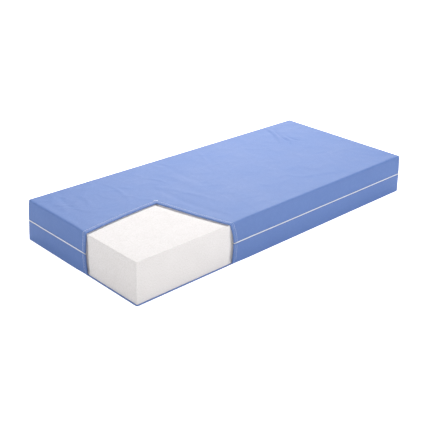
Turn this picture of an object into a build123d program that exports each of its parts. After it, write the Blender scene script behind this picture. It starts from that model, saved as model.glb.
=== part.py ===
"""Pressure relief mattress: one foam block in a zipped, two-part fabric cover.

The mattress lies on its back face: +X runs to the head end, +Y to the long side that
carries the zip sliders, +Z up. The origin is the centre of the underside.
A display window is cut out of the cover at the foot end's -Y corner and shows the foam.
Every layer of the cover is described by its inset, the distance from the outside.
"""

import os

from build123d import *

os.makedirs("parts", exist_ok=True)

# ---- Driving dimensions, mm ----
length = 2000.0
width = 880.0
height = 225.0
side_corner_radius = 12.0
window_corner_radius = 8.0
top_edge_radius = 9.0
bottom_edge_radius = 6.0

fabric = 1.0
facing_inset = 1.7
facing_thickness = 0.6
hem_width = 24.0
lip_width = 3.0
sewing_gap = 0.2

foam_inset = 4.5
foam_top = height - 4.0
foam_bottom = 1.5
foam_edge_radius = 4.0
foam_covered_corner_radius = side_corner_radius - foam_inset

zip_height = 112.0
fold_offset = 3.4
coil_slot = 0.9
coil_width = 2.6
coil_depth = 1.0
tape_offset = 1.0
tape_width = 14.0
tape_inset = 1.1
tape_thickness = 0.5

window_on_foot_end = 373.0
window_on_long_side = 586.0
window_apex = (468.0, 423.0)
base_hem_height = 7.0
past_cover = 60.0

thread_width = 0.8
thread_proud = 0.3
thread_gap = 0.05
zip_stitch_offset = 6.5
window_stitch_rows = {"edge_row": 11.0, "back_row": 21.0}
seam_end_gap = 8.0

slider_nose_half_width = 4.8
slider_nose = 6.0
slider_tail = 6.5
slider_plate = 1.4
slider_plate_gap = 0.6
slider_back_plate = 1.2
slider_back_inset = 2.3
slider_post_thickness = 0.6
slider_rest_x = 12.0

bridge_half_length = 5.2
bridge_half_width = 1.1
bridge_foot = 1.4
bridge_bar = 1.2
bridge_clear_height = 3.0

pull_length = 26.0
pull_half_width = 3.2
pull_thickness = 1.2
pull_pin_radius = 0.7
pull_window_half_width = 1.6
pull_window_end = 6.6
pull_cord_hole_radius = 1.3

# ---- Worked out from the driving dimensions ----
half_length = length / 2
half_width = width / 2
window_corner = (-half_length, -half_width)
lip_outer = lip_width + sewing_gap
facing_inner_inset = facing_inset + facing_thickness
upper_fold = zip_height + fold_offset
lower_fold = zip_height - fold_offset
wall_outside = half_width
front_plate_y = wall_outside + slider_plate_gap
bridge_foot_y = front_plate_y + slider_plate
pull_axis_y = bridge_foot_y + bridge_clear_height / 2


def cover_plan(inset):
    """The cover seen from above, pulled in by inset."""
    with BuildSketch() as plan:
        Rectangle(length - 2 * inset, width - 2 * inset)
        fillet(plan.vertices().sort_by_distance(window_corner)[1:], side_corner_radius - inset)
        fillet(plan.vertices().sort_by_distance(window_corner)[0], window_corner_radius - inset)
    return plan.sketch


def cover_form(inset):
    """The outside of the cover, pulled in by inset on all its faces."""
    plan = cover_plan(inset)
    with BuildPart() as form:
        with BuildSketch(Plane.XY.offset(inset)):
            add(plan)
        extrude(amount=height - 2 * inset)
        fillet(form.edges().group_by(Axis.Z)[-1], top_edge_radius - inset)
        fillet(form.edges().group_by(Axis.Z)[0], bottom_edge_radius - inset)
    return form.part


def window_outline(grow):
    """The display window seen from above, moved outwards by grow along its two cuts."""
    near_x = -half_length
    near_y = -half_width
    apex = (near_x + window_apex[0], near_y + window_apex[1])
    foot_slope = (apex[1] - near_y - window_on_foot_end) / window_apex[0]
    side_slope = (apex[0] - near_x - window_on_long_side) / window_apex[1]
    foot_cut = (near_x - past_cover, near_y + window_on_foot_end - past_cover * foot_slope)
    side_cut = (near_x + window_on_long_side - past_cover * side_slope, near_y - past_cover)
    with BuildSketch() as outline:
        with BuildLine():
            Polyline(foot_cut, apex, side_cut, (near_x - past_cover, near_y - past_cover), close=True)
        make_face()
        if grow:
            offset(amount=grow, kind=Kind.INTERSECTION)
    return outline.sketch


def window_prism(grow, low, high):
    """The display window as a solid between two heights."""
    outline = window_outline(grow)
    with BuildPart() as prism:
        with BuildSketch(Plane.XY.offset(low)):
            add(outline)
        extrude(amount=high - low)
    return prism.part


def wall_plane(x, y):
    """A plane parallel to the +Y wall, its x axis pointing to the middle of that wall."""
    return Plane(origin=(x, y, zip_height), x_dir=(-1 if x > 0 else 1, 0, 0), z_dir=(0, 1, 0))


def finish(piece, name):
    """Label a finished piece and write it out."""
    piece.part.label = name
    export_step(piece.part, f"parts/{name}.step")


outside = cover_form(0)
fabric_inside = cover_form(fabric)
facing_outside = cover_form(facing_inset)
facing_inside = cover_form(facing_inner_inset)

window_finished = window_prism(0, base_hem_height, height + past_cover)
window_lip = window_prism(lip_width, base_hem_height, height + past_cover)
window_hem = window_prism(hem_width, base_hem_height, height + past_cover)
window_cut = window_prism(lip_outer, base_hem_height - lip_outer, height + past_cover)
base_lip = window_prism(lip_width, base_hem_height - lip_width, base_hem_height)

# ---- Foam core: one block, crisp at the window corner, rounded where the cover pulls it in ----
with BuildPart() as foam_core:
    with BuildSketch(Plane.XY.offset(foam_bottom)):
        Rectangle(length - 2 * foam_inset, width - 2 * foam_inset)
    extrude(amount=foam_top - foam_bottom)
    fillet(foam_core.edges().filter_by(Axis.Z).sort_by_distance(window_corner)[1:],
           foam_covered_corner_radius)
    fillet(foam_core.edges().filter_by(Axis.Z).sort_by_distance(window_corner)[0],
           foam_edge_radius)
    fillet(foam_core.edges().group_by(Axis.Z)[-1], foam_edge_radius)
finish(foam_core, "foam_core")

# ---- Cover: two fabric shells that meet at the zip ----
with BuildPart() as upper_cover:
    add(outside)
    add(fabric_inside, mode=Mode.SUBTRACT)
    split(bisect_by=Plane.XY.offset(upper_fold), keep=Keep.TOP)
    add(window_cut, mode=Mode.SUBTRACT)
finish(upper_cover, "upper_cover")

with BuildPart() as lower_cover:
    add(outside)
    add(fabric_inside, mode=Mode.SUBTRACT)
    split(bisect_by=Plane.XY.offset(lower_fold), keep=Keep.BOTTOM)
    add(window_cut, mode=Mode.SUBTRACT)
finish(lower_cover, "lower_cover")

# ---- Window hems: a lip that closes the cut edge, and the facing turned in behind it ----
with BuildPart() as lip_band:
    add(window_lip)
    add(window_finished, mode=Mode.SUBTRACT)
    add(base_lip)
    add(outside, mode=Mode.INTERSECT)
    add(facing_inside, mode=Mode.SUBTRACT)

with BuildPart() as facing_band:
    add(window_hem)
    add(window_finished, mode=Mode.SUBTRACT)
    add(facing_outside, mode=Mode.INTERSECT)
    add(facing_inside, mode=Mode.SUBTRACT)

with BuildPart() as window_hem_upper:
    add(lip_band.part)
    add(facing_band.part)
    split(bisect_by=Plane.XY.offset(upper_fold), keep=Keep.TOP)
finish(window_hem_upper, "window_hem_upper")

with BuildPart() as window_hem_lower:
    add(lip_band.part)
    add(facing_band.part)
    split(bisect_by=Plane.XY.offset(lower_fold), keep=Keep.BOTTOM)
finish(window_hem_lower, "window_hem_lower")

# ---- Zip: a woven tape and a coil on each side of the closing line ----
halves = {"upper": 1, "lower": -1}

tape_outer_plan = cover_plan(tape_inset)
tape_inner_plan = cover_plan(tape_inset + tape_thickness)
coil_outer_plan = cover_plan(0)
coil_inner_plan = cover_plan(coil_depth)

for half, side in halves.items():
    tape_middle = zip_height + side * (tape_offset + tape_width / 2)
    with BuildPart() as zip_tape:
        with BuildSketch(Plane.XY.offset(tape_middle - tape_width / 2)):
            add(tape_outer_plan)
            add(tape_inner_plan, mode=Mode.SUBTRACT)
        extrude(amount=tape_width)
        add(window_cut, mode=Mode.SUBTRACT)
    finish(zip_tape, f"zip_tape_{half}")

    coil_middle = zip_height + side * (coil_slot + coil_width) / 2
    with BuildPart() as zip_coil:
        with BuildSketch(Plane.XY.offset(coil_middle - coil_width / 2)):
            add(coil_outer_plan)
            add(coil_inner_plan, mode=Mode.SUBTRACT)
        extrude(amount=coil_width)
        add(window_finished, mode=Mode.SUBTRACT)
    finish(zip_coil, f"zip_coil_{half}")

# ---- Threads that hold the zip: one straight run along each wall, above and below it ----
with BuildPart() as thread_skin:
    skin_outer = 2 * (thread_gap + thread_proud)
    with BuildSketch(Plane.XY.offset(bottom_edge_radius)):
        Rectangle(length + skin_outer, width - 2 * side_corner_radius)
        Rectangle(length - 2 * side_corner_radius, width + skin_outer)
        Rectangle(length + 2 * thread_gap, width + 2 * thread_gap, mode=Mode.SUBTRACT)
    extrude(amount=height - top_edge_radius - bottom_edge_radius)

for half, side in halves.items():
    row_middle = zip_height + side * zip_stitch_offset
    with BuildPart() as zip_stitch:
        with BuildSketch(Plane.XY.offset(row_middle - thread_width / 2)):
            Rectangle(length + past_cover, width + past_cover)
        extrude(amount=thread_width)
        add(thread_skin.part, mode=Mode.INTERSECT)
        add(window_hem, mode=Mode.SUBTRACT)
    finish(zip_stitch, f"zip_stitch_{half}")

# ---- Threads of the window hems: two rows that follow the cuts over the top and walls ----
with BuildPart() as top_skin:
    with BuildSketch(Plane.XY.offset(height + thread_gap)):
        Rectangle(length - 2 * side_corner_radius, width - 2 * side_corner_radius)
    extrude(amount=thread_proud)

for row, distance in window_stitch_rows.items():
    row_outer = window_prism(distance + thread_width / 2, base_hem_height, height + past_cover)
    row_inner = window_prism(distance - thread_width / 2, 0, height + 2 * past_cover)
    for half, side in halves.items():
        near_zip = zip_height + side * seam_end_gap
        with BuildPart() as window_stitch:
            add(thread_skin.part)
            add(top_skin.part)
            add(row_outer, mode=Mode.INTERSECT)
            add(row_inner, mode=Mode.SUBTRACT)
            split(bisect_by=Plane.XY.offset(near_zip), keep=Keep.TOP if side > 0 else Keep.BOTTOM)
        finish(window_stitch, f"window_stitch_{half}_{row}")

# ---- Seams up the three covered corners ----
covered_corners = {(-1, 1): 135, (1, 1): 45, (1, -1): -45}
seam_spans = {
    "upper": (zip_height + seam_end_gap, height - top_edge_radius),
    "lower": (bottom_edge_radius, zip_height - seam_end_gap),
}

for half, (seam_low, seam_high) in seam_spans.items():
    with BuildPart() as corner_seam:
        with BuildSketch(Plane.XY.offset(seam_low)):
            for (end, long_side), angle in covered_corners.items():
                centre_x = end * (half_length - side_corner_radius)
                centre_y = long_side * (half_width - side_corner_radius)
                with Locations(Location((centre_x, centre_y), angle)):
                    with Locations((side_corner_radius + thread_gap + thread_proud / 2, 0)):
                        Rectangle(thread_proud, thread_width)
        extrude(amount=seam_high - seam_low)
    finish(corner_seam, f"corner_seam_{half}")

# ---- Zip sliders and their pulls, nose to nose at the middle of the +Y side ----
slider_points = [
    (slider_nose, -3.4),
    (slider_nose, 3.4),
    (slider_nose / 2, slider_nose_half_width),
    (-1.0, slider_nose_half_width - 0.2),
    (-slider_tail, 3.3),
    (-slider_tail, -3.3),
    (-1.0, 0.2 - slider_nose_half_width),
    (slider_nose / 2, -slider_nose_half_width),
]

for end, travel in {"foot": -1, "head": 1}.items():
    slider_x = travel * slider_rest_x
    with BuildPart() as zip_slider:
        with BuildSketch(wall_plane(slider_x, front_plate_y)):
            with BuildLine():
                Polyline(*slider_points, close=True)
            make_face()
        extrude(amount=slider_plate)
        fillet(zip_slider.edges().filter_by(Axis.Y), 0.7)
        with BuildSketch(wall_plane(slider_x, wall_outside - slider_back_inset - slider_back_plate)):
            with BuildLine():
                Polyline(*slider_points, close=True)
            make_face()
        extrude(amount=slider_back_plate)
        with BuildSketch(wall_plane(slider_x, wall_outside - slider_back_inset)):
            with Locations((slider_nose / 2, 0)):
                Rectangle(slider_nose / 2, slider_post_thickness)
        extrude(amount=slider_back_inset + slider_plate_gap)
        with BuildSketch(Plane.XY.offset(zip_height - bridge_half_width)) as bridge_profile:
            bridge_rise = bridge_clear_height + bridge_bar
            with Locations((slider_x, bridge_foot_y + bridge_rise / 2)):
                Rectangle(2 * bridge_half_length, bridge_rise)
            fillet(bridge_profile.vertices().group_by(Axis.Y)[-1], 2.0)
            with Locations((slider_x, pull_axis_y)):
                Rectangle(2 * (bridge_half_length - bridge_foot), bridge_clear_height,
                          mode=Mode.SUBTRACT)
        extrude(amount=2 * bridge_half_width)
    finish(zip_slider, f"zip_slider_{end}")

    with BuildPart() as zip_pull:
        with BuildSketch(wall_plane(slider_x, pull_axis_y - pull_thickness / 2)) as pull_outline:
            with Locations((-pull_length / 2, 0)):
                Rectangle(pull_length, 2 * pull_half_width)
            fillet(pull_outline.vertices().group_by(Axis.X)[0], pull_half_width * 0.9)
            with Locations((-pull_window_end / 2, 0)):
                Rectangle(pull_window_end, 2 * pull_window_half_width, mode=Mode.SUBTRACT)
            with Locations((pull_half_width - pull_length, 0)):
                Circle(pull_cord_hole_radius, mode=Mode.SUBTRACT)
        extrude(amount=pull_thickness)
        with BuildSketch(Plane.XY.offset(zip_height - pull_half_width)):
            with Locations((slider_x, pull_axis_y)):
                Circle(pull_pin_radius)
        extrude(amount=2 * pull_half_width)
    finish(zip_pull, f"zip_pull_{end}")
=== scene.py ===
import math

import bmesh
import bpy
from mathutils import Matrix, Vector, noise
from mathutils.bvhtree import BVHTree


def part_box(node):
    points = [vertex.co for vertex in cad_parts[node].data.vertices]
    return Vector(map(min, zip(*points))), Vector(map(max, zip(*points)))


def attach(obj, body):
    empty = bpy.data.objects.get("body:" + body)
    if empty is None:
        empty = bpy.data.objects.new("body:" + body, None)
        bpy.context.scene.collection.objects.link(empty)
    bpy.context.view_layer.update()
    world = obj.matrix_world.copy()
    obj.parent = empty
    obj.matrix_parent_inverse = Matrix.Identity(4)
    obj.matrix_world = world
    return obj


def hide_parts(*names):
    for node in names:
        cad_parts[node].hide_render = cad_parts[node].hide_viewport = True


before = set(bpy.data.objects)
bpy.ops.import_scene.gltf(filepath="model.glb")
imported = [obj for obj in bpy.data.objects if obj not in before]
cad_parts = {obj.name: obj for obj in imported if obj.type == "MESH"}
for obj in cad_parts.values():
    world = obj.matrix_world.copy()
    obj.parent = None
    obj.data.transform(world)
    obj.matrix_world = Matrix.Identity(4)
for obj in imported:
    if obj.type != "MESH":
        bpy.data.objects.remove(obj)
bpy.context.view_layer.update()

# ---- Sizes, in metres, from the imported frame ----
UPPER_LOW, UPPER_HIGH = (Vector(corner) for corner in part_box("upper_cover"))
FOAM_LOW, FOAM_HIGH = (Vector(corner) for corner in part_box("foam_core"))
HALF_LENGTH = UPPER_HIGH.x
HALF_WIDTH = UPPER_HIGH.y
HEIGHT = UPPER_HIGH.z
UPPER_FOLD = UPPER_LOW.z
LOWER_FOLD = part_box("lower_cover")[1][2]
ZIP_HEIGHT = (UPPER_FOLD + LOWER_FOLD) / 2

# ---- Sizes of the sewn details, in metres ----
MM = 0.001
SIDE_CORNER = 12 * MM
WINDOW_CORNER = 8 * MM
TOP_EDGE = 9 * MM
BOTTOM_EDGE = 4 * MM
FABRIC = 0.8 * MM
HEM_FABRIC = 0.6 * MM
CLOTH_CELL = 8 * MM
FOAM_CELL = 9 * MM

WINDOW_APEX = Vector((-HALF_LENGTH + 0.468, -HALF_WIDTH + 0.423))
WINDOW_ON_FOOT = Vector((-HALF_LENGTH, -HALF_WIDTH + 0.373))
WINDOW_ON_SIDE = Vector((-HALF_LENGTH + 0.586, -HALF_WIDTH))
BASE_HEM = 7 * MM
BASE_HEM_SQUEEZE = 0.42
BASE_HEM_DROP = 5.4 * MM
COVER_EDGE = 3 * MM
STITCH_ROWS = {"edge_row": 11 * MM, "back_row": 21 * MM}
STITCH_DIPS = {"edge_row": 0.2 * MM, "back_row": 0.6 * MM}
STITCH_RADII = {"edge_row": 0.45 * MM, "back_row": 0.9 * MM}
STITCH_PITCH = 4.4 * MM
STITCH_LENGTH = 3.7 * MM
THREAD_RADIUS = 0.6 * MM
ZIP_STITCH = 6.5 * MM
BAR_TACKS = 22
BAR_TACK_WIDTH = 22 * MM
COIL_PITCH = 1.5 * MM

# How the cover leans in at its top edge and spreads at its base.
WALL_LEAN = 5.5 * MM
WALL_SPREAD = 3.5 * MM
LEAN_CURVE = 1.4
LEAN_BAND = 50 * MM
LEAN_STARTS = 120 * MM

# How the fabric is drawn along itself by the window's two cuts.
CUT_REACH = 400 * MM
CUT_FADE = 130 * MM
SWELL_TOP = 200 * MM
SIDE_CUT_SLACK = 10 * MM
SIDE_CUT_SWELL = 8 * MM
SIDE_CUT_PULL = 22 * MM
SIDE_CUT_TAPER = 0.8
SIDE_CUT_BOW = 5 * MM
FOOT_CUT_SWELL = 11 * MM
FOOT_CUT_TAPER = 8
FOOT_CUT_BOW = 7 * MM

# How the fabric curls, dips and gathers beside the window.
HEM_REACH = 80 * MM
HEM_HELD = (4 * MM, 35 * MM)
WALL_CURL = 1.5 * MM
TOP_CURL = 0.4 * MM
CURL_REACH = 24 * MM
STITCH_DIP_WIDTH = 1.8 * MM
HEM_RIDGE = 0.8 * MM
HEM_RIDGE_PLACE = 16 * MM
HEM_RIDGE_WIDTH = 4 * MM
HEM_GATHER = 0.5 * MM
HEM_GATHER_SIZE = 20 * MM
HEM_GATHER_REACH = 30 * MM

# Unevenness is layers of (height, size across, seed).
TOP_UNEVENNESS = [(0.9 * MM, 0.16, 3), (0.35 * MM, 0.055, 8)]
TOP_CREASES = (1.2 * MM, 0.11, 21)
TOP_SETTLED = 0.8 * MM
TOP_RIM = 50 * MM
WALL_SWELLS = [(0.7 * MM, 0.14, 5)]
WALL_RIPPLES = [(0.35 * MM, 0.03, 6)]
WALL_RIPPLE_STRETCH = 0.35
ZIP_PUCKER = 0.5 * MM
ZIP_PUCKER_SIZE = 16 * MM
ZIP_SEAM_DIP = 0.35 * MM
ZIP_SEAM_WIDTH = 1.6 * MM
SLIDER_BAND = (15 * MM, 50 * MM)
CORNER_SEAM_DIP = 1.1 * MM
CORNER_SEAM_SWELL = 0.4 * MM
FOAM_UNEVENNESS = [(0.35 * MM, 0.09, 12), (0.12 * MM, 0.02, 15)]

# How the window's hem presses into the foam, on its top and on its walls.
FOAM_DENT = 13 * MM
FOAM_FOOT_DENT = 6.5 * MM
FOAM_WALL_DENT = 13 * MM
FOAM_DENT_CURVE = 1.3
FOAM_DENT_EDGE = -1 * MM
FOAM_SETTLED = 3.5 * MM
FOAM_SETTLES = 30 * MM
FOAM_RISES = 28 * MM


# ---- Camera and light ----
CAMERA_PLACE = (-2.87682, -2.82559, 1.87865)
CAMERA_TURN = (-44.516, 25.1547, 1.624)
CAMERA_LENS = 66.613
SURROUND_STRENGTH = 0.36
FLOOR_SIZE = 30
WHITE = (1, 1, 1, 1)

# Each softbox: its name, its place, what it faces, its size in metres and its power in watts.
SOFTBOXES = [
    ("overhead_softbox", (0.9, 1.3, 3.4), (0.1, 0, 0.2), 1.6, 83),
    ("back_panel", (4.6, 4.3, 2.6), (0.1, 0, 0.2), 5.0, 200),
    ("side_softbox", (0.6, -4.5, 1.8), (0.1, 0, 0.1), 2.5, 106),
    ("foot_softbox", (-4.5, 0.4, 1.8), (-0.6, 0, 0.1), 2.5, 60),
]


def make_camera():
    """A camera above head height, off the foot end's window corner."""
    azimuth, elevation, roll = (math.radians(angle) for angle in CAMERA_TURN)
    data = bpy.data.cameras.new("studio_camera")
    data.sensor_width = 36.0
    data.lens = CAMERA_LENS
    data.clip_end = 100.0
    camera = bpy.data.objects.new("studio_camera", data)
    bpy.context.scene.collection.objects.link(camera)
    back = Vector((math.sin(azimuth) * math.cos(elevation),
                   -math.cos(azimuth) * math.cos(elevation), math.sin(elevation)))
    level = Vector((math.cos(azimuth), math.sin(azimuth), 0))
    rise = back.cross(level)
    right = math.cos(roll) * level + math.sin(roll) * rise
    up = math.cos(roll) * rise - math.sin(roll) * level
    turn = Matrix((right, up, back)).transposed().to_4x4()
    camera.matrix_world = Matrix.Translation(CAMERA_PLACE) @ turn
    bpy.context.scene.camera = camera


def softbox(name, place, target, size, power):
    """A square light at place that faces target."""
    data = bpy.data.lights.new(name, "AREA")
    data.shape = "SQUARE"
    data.size = size
    data.energy = power
    light = bpy.data.objects.new(name, data)
    bpy.context.scene.collection.objects.link(light)
    aim = (Vector(target) - Vector(place)).to_track_quat("-Z", "Y")
    light.matrix_world = Matrix.Translation(place) @ aim.to_matrix().to_4x4()


def make_studio():
    """A white floor under an even white surround, with a large softbox over the head end."""
    world = bpy.data.worlds.new("white_surround")
    world.use_nodes = True
    world.node_tree.nodes["Background"].inputs["Color"].default_value = WHITE
    world.node_tree.nodes["Background"].inputs["Strength"].default_value = SURROUND_STRENGTH
    bpy.context.scene.world = world
    bpy.context.scene.view_settings.view_transform = "Standard"
    bpy.context.scene.view_settings.look = "None"
    for settings in SOFTBOXES:
        softbox(*settings)
    mesh = bpy.data.meshes.new("studio_floor")
    bm = bmesh.new()
    bmesh.ops.create_grid(bm, x_segments=1, y_segments=1, size=FLOOR_SIZE)
    bm.to_mesh(mesh)
    bm.free()
    floor = bpy.data.objects.new("studio_floor", mesh)
    bpy.context.scene.collection.objects.link(floor)
    paint = bpy.data.materials.new("studio_white")
    paint.use_nodes = True
    shader = paint.node_tree.nodes["Principled BSDF"]
    shader.inputs["Base Color"].default_value = (0.82, 0.82, 0.82, 1)
    shader.inputs["Roughness"].default_value = 1.0
    shader.inputs["Specular IOR Level"].default_value = 0.0
    shader.inputs["Emission Color"].default_value = WHITE
    rays = paint.node_tree.nodes.new("ShaderNodeLightPath")
    paint.node_tree.links.new(rays.outputs["Is Camera Ray"], shader.inputs["Emission Strength"])
    mesh.materials.append(paint)


# ---- Mesh helpers ----
def new_piece(name, bm, material, body="mattress"):
    """Make bm a finished, smooth-shaded piece that rides on a body."""
    mesh = bpy.data.meshes.new(name)
    for face in bm.faces:
        face.smooth = True
    bm.to_mesh(mesh)
    bm.free()
    piece = bpy.data.objects.new(name, mesh)
    bpy.context.scene.collection.objects.link(piece)
    mesh.materials.append(material)
    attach(piece, body)
    return piece


def apply_modifiers(piece):
    """Turn the piece's modifiers into its mesh."""
    graph = bpy.context.evaluated_depsgraph_get()
    mesh = bpy.data.meshes.new_from_object(piece.evaluated_get(graph), depsgraph=graph)
    piece.modifiers.clear()
    old = piece.data
    piece.data = mesh
    bpy.data.meshes.remove(old)


def thicken(piece, thickness):
    """Give a cloth its thickness, on its inner side."""
    solidify = piece.modifiers.new("thickness", "SOLIDIFY")
    solidify.thickness = thickness
    solidify.offset = -1.0
    apply_modifiers(piece)


def cut(bm, place, normal, faces=None):
    """Cut a mesh, or some of its faces, with a plane."""
    faces = faces if faces is not None else bm.faces[:]
    edges = {edge for face in faces for edge in face.edges}
    verts = {vert for face in faces for vert in face.verts}
    bmesh.ops.bisect_plane(bm, geom=list(faces) + list(edges) + list(verts), dist=1e-6,
                           plane_co=place, plane_no=normal)


def bevel(bm, edges, offset, segments, **settings):
    """Round some edges of a mesh."""
    bmesh.ops.bevel(bm, geom=edges, offset=offset, offset_type="OFFSET", segments=segments,
                    profile=0.5, affect="EDGES", material=-1, **settings)


def steps(low, high, size):
    """Evenly spaced places between low and high, about size apart, ends left out."""
    count = max(1, round((high - low) / size))
    return [low + (high - low) * k / count for k in range(1, count)]


def smooth(low, high, value):
    """0 below low, 1 above high, and a smooth rise between."""
    t = min(1.0, max(0.0, (value - low) / (high - low)))
    return t * t * (3 - 2 * t)


def hump(distance, width):
    """A soft ridge: 1 at its crest, and about a third at width from it."""
    return math.exp(-(distance / width) ** 2)


# ---- The display window ----
def cut_line(start, end):
    """A cut's direction and its normal, which points from the window into the fabric."""
    along = (end - start).normalized()
    normal = Vector((-along.y, along.x))
    if (normal.dot(Vector((-HALF_LENGTH, -HALF_WIDTH)) - start)) > 0:
        normal.negate()
    return along, normal


FOOT_ALONG, FOOT_NORMAL = cut_line(WINDOW_ON_FOOT, WINDOW_APEX)
SIDE_ALONG, SIDE_NORMAL = cut_line(WINDOW_ON_SIDE, WINDOW_APEX)


def from_foot_cut(point):
    return (Vector(point[:2]) - WINDOW_ON_FOOT).dot(FOOT_NORMAL)


def from_side_cut(point):
    return (Vector(point[:2]) - WINDOW_ON_SIDE).dot(SIDE_NORMAL)


def from_window(point):
    """How far a point of the cover is from the window's finished edge."""
    return max(from_foot_cut(point), from_side_cut(point))


# ---- The cover's relief: how far each point of the fabric stands out or in ----
# Each fold: where it starts and ends on the lying surface (x, y, x, y), its height and its
# half-width, all in millimetres.
FOLDS = [
    (742, 405, 629, 196, 4.0, 11), (765, 350, 678, 178, -3.0, 12),
    (700, 213, 647, 125, 3.6, 9), (735, 230, 738, 120, -2.6, 12),
    (-177, 400, -160, 300, 0.8, 16), (-179, 310, -177, 10, -1.1, 26),
    (-275, 270, -244, -45, 0.8, 26), (-417, 54, -370, -300, -1.6, 24),
    (-400, 140, -285, -160, 1.0, 22), (-244, 394, -369, 278, 0.7, 12),
    (-377, 268, -515, 186, 0.6, 12), (-366, 260, -324, 145, 1.1, 11),
    (116, 385, 35, 233, 0.7, 12), (150, 368, 78, 198, -0.6, 15),
    (-23, 171, 179, 136, 0.8, 10), (-96, 11, 19, 19, 0.6, 12),
    (19, 19, 158, 77, 0.7, 12), (61, -296, 203, -242, 0.8, 12),
    (614, -85, 775, -117, -0.6, 18), (749, -138, 901, -189, 0.7, 18),
    (-592, 366, -585, 191, 0.7, 12), (-842, 386, -885, 197, -1.2, 24),
    (-800, 110, -700, 85, -0.9, 16), (-564, 100, -500, 60, -0.8, 14),
    (290, -281, 509, -342, 0.7, 20), (-446, 413, -404, 335, 0.6, 12),
    (484, 210, 549, 177, 0.5, 14), (-350, -280, -350, -420, 0.9, 14),
    (-202, -345, -26, -375, 0.6, 20), (-218, -116, -124, -228, 0.6, 14),
    (-585, 198, -642, 60, 0.6, 14), (-773, 295, -804, 171, 0.7, 16),
]
FOLD_HEIGHTS = 1.3
FOLD_WIDTHS = 0.8
FOLD_RUNOUT = 0.4
FOLD_FADE = (-0.35, 0.3)
FOLD_BEND = 12 * MM


def fold_height(x, y):
    """The height of the soft folds that are left in the lying surface."""
    height = 0.0
    for start_x, start_y, end_x, end_y, rise, half_width in FOLDS:
        start = Vector((start_x, start_y)) * MM
        along = Vector((end_x, end_y)) * MM - start
        reach = Vector((x, y)) - start
        share = reach.dot(along) / along.length_squared
        if not -FOLD_RUNOUT < share < 1 + FOLD_RUNOUT:
            continue
        bend = math.copysign(FOLD_BEND, rise) * math.sin(math.pi * share)
        across = (reach.x * along.y - reach.y * along.x) / along.length + bend
        fade = smooth(*FOLD_FADE, share) * smooth(*FOLD_FADE, 1 - share)
        width = FOLD_WIDTHS * half_width * MM
        section = hump(across, width) - 0.35 * hump(across - 1.7 * width, 1.2 * width)
        height += FOLD_HEIGHTS * rise * MM * fade * section
    return height


def unevenness(point, layers):
    """Soft random relief, made of layers of (height, size across, seed)."""
    height = 0.0
    for rise, size, seed in layers:
        place = Vector(point) / size + Vector((seed, 2.7 * seed, 5.1 * seed))
        height += rise * (noise.noise(place) + 0.45 * noise.noise(2.1 * place))
    return height


def creases(point, rise, size, seed):
    """Thin random ridges, like the lines left in cloth by folding it."""
    place = Vector(point) / size + Vector((seed, 1.7 * seed, 0.3 * seed))
    place += 0.5 * Vector((noise.noise(place * 1.3 + Vector((5, 1, 0))), noise.noise(place * 1.3), 0))
    return rise * max(0.0, 1 - 2.4 * abs(noise.noise(place))) ** 3


def top_relief(point):
    """The folds, swells and creases of the lying surface, which end at its rim."""
    rim = min(HALF_LENGTH - abs(point.x), HALF_WIDTH - abs(point.y))
    return smooth(0.0, TOP_RIM, rim) * (fold_height(point.x, point.y) + unevenness(point, TOP_UNEVENNESS)
                                        + creases(point, *TOP_CREASES) - TOP_SETTLED)


def wall_relief(point, normal):
    """The swells and ripples of the walls, the zip's puckers and the dips of the seams."""
    stretched = Vector((point.x, point.y, WALL_RIPPLE_STRETCH * point.z))
    out = unevenness(point, WALL_SWELLS) + unevenness(stretched, WALL_RIPPLES)
    from_fold = min(abs(point.z - UPPER_FOLD), abs(point.z - LOWER_FOLD))
    pucker = noise.noise(Vector((point.x, point.y, 9.1)) / ZIP_PUCKER_SIZE)
    out += ZIP_PUCKER * pucker * math.exp(-from_fold / ZIP_PUCKER_SIZE)
    from_zip = abs(point.z - ZIP_HEIGHT)
    out -= ZIP_SEAM_DIP * hump(from_zip - ZIP_STITCH, ZIP_SEAM_WIDTH)
    if normal.y > 0.99:  # the sliders' wall is flat beside the zip, so that they run clear
        out *= smooth(*SLIDER_BAND, from_zip)
    corner = Vector((abs(point.x) - (HALF_LENGTH - SIDE_CORNER),
                     abs(point.y) - (HALF_WIDTH - SIDE_CORNER)))
    if corner.x > 0 and corner.y > 0:
        turn = math.degrees(math.atan2(corner.y, corner.x)) - 45
        out += CORNER_SEAM_SWELL * hump(abs(turn) - 26, 12) - CORNER_SEAM_DIP * hump(turn, 9)
    return out


def hem_relief(point, wall, level):
    """The fabric's curl, its sewn rows and its gathers beside the window."""
    gap = from_window(point)
    if gap >= HEM_REACH:
        return 0.0
    held = smooth(*HEM_HELD, point.z)
    reach = max(0.0, 1 - max(gap, 0.0) / CURL_REACH)
    raised = HEM_RIDGE * hump(gap - HEM_RIDGE_PLACE, HEM_RIDGE_WIDTH)
    for row, distance in STITCH_ROWS.items():
        raised -= STITCH_DIPS[row] * hump(gap - distance, STITCH_DIP_WIDTH)
    gather = noise.noise(point / HEM_GATHER_SIZE)
    raised += HEM_GATHER * gather * math.exp(-max(gap, 0) / HEM_GATHER_REACH)
    return held * raised - (wall * WALL_CURL * held + level * TOP_CURL) * reach * reach


def relief(point, normal):
    """How far the fabric at a point stands out from the cover's plain form."""
    level = normal.z * normal.z
    wall = (1.0 - level) * smooth(BOTTOM_EDGE, 5 * BOTTOM_EDGE, point.z)
    out = hem_relief(point, wall, level)
    if normal.z > 0.05:
        out += level * top_relief(point)
    if wall > 0.05:
        out += wall * wall_relief(point, normal)
    return out


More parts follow.
